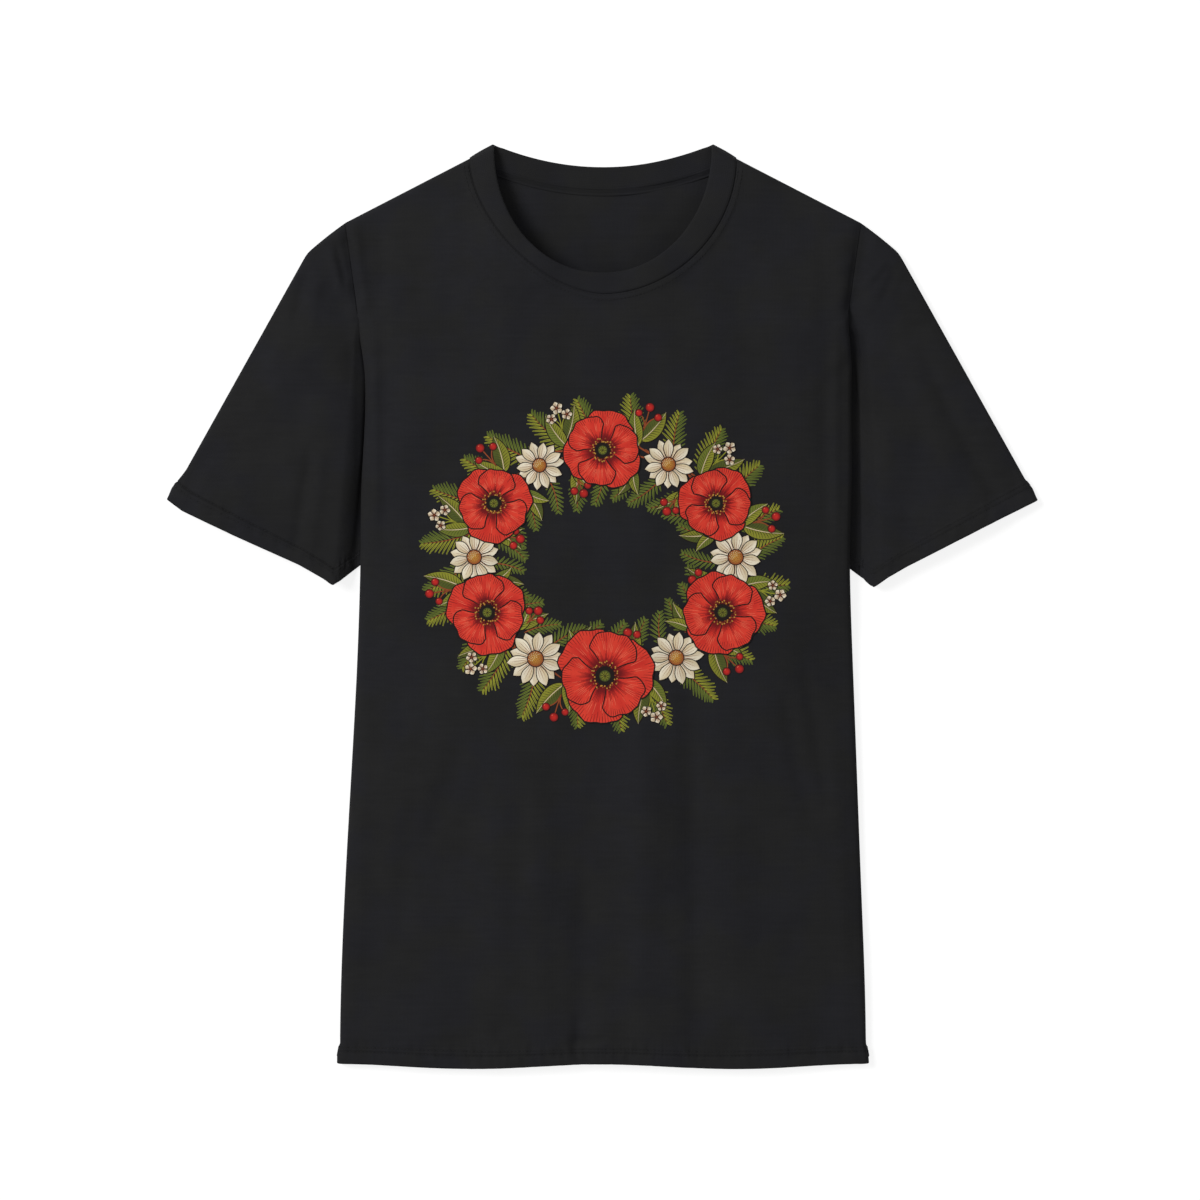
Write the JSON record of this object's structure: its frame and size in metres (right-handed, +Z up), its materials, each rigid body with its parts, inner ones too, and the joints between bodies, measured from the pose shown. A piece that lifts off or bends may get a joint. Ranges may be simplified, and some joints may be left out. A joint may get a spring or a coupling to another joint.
{
  "type": "t-shirt",
  "caption": "Short-sleeved crew-neck T-shirt laid flat on its back, open at the hem, sleeves and neck, with a ribbed neckband.",
  "frame": {"origin": "middle of the shirt's footprint, on the surface that it lies on", "axes": "+X to the wearer's left, +Y from the hem to the neck, +Z up, out of the chest"},
  "size_m": [0.673, 0.7132, 0.025],
  "materials": {
    "jersey": "matt black cotton jersey, printed on the chest",
    "rib": "matt black cotton rib",
    "tape": "matt black twill tape",
    "thread": "black sewing thread, slightly glossy"
  },
  "bodies": {
    "root": {"front_panel": "jersey", "back_panel": "jersey", "left_sleeve": "jersey", "right_sleeve": "jersey", "neck_rib": "rib", "neck_tape": "tape", "neck_thread_inner": "thread", "neck_thread_outer": "thread", "bottom_hem_thread_lower": "thread", "bottom_hem_thread_upper": "thread", "left_sleeve_thread_inner": "thread", "left_sleeve_thread_outer": "thread", "right_sleeve_thread_inner": "thread", "right_sleeve_thread_outer": "thread"}
  },
  "joints": []
}
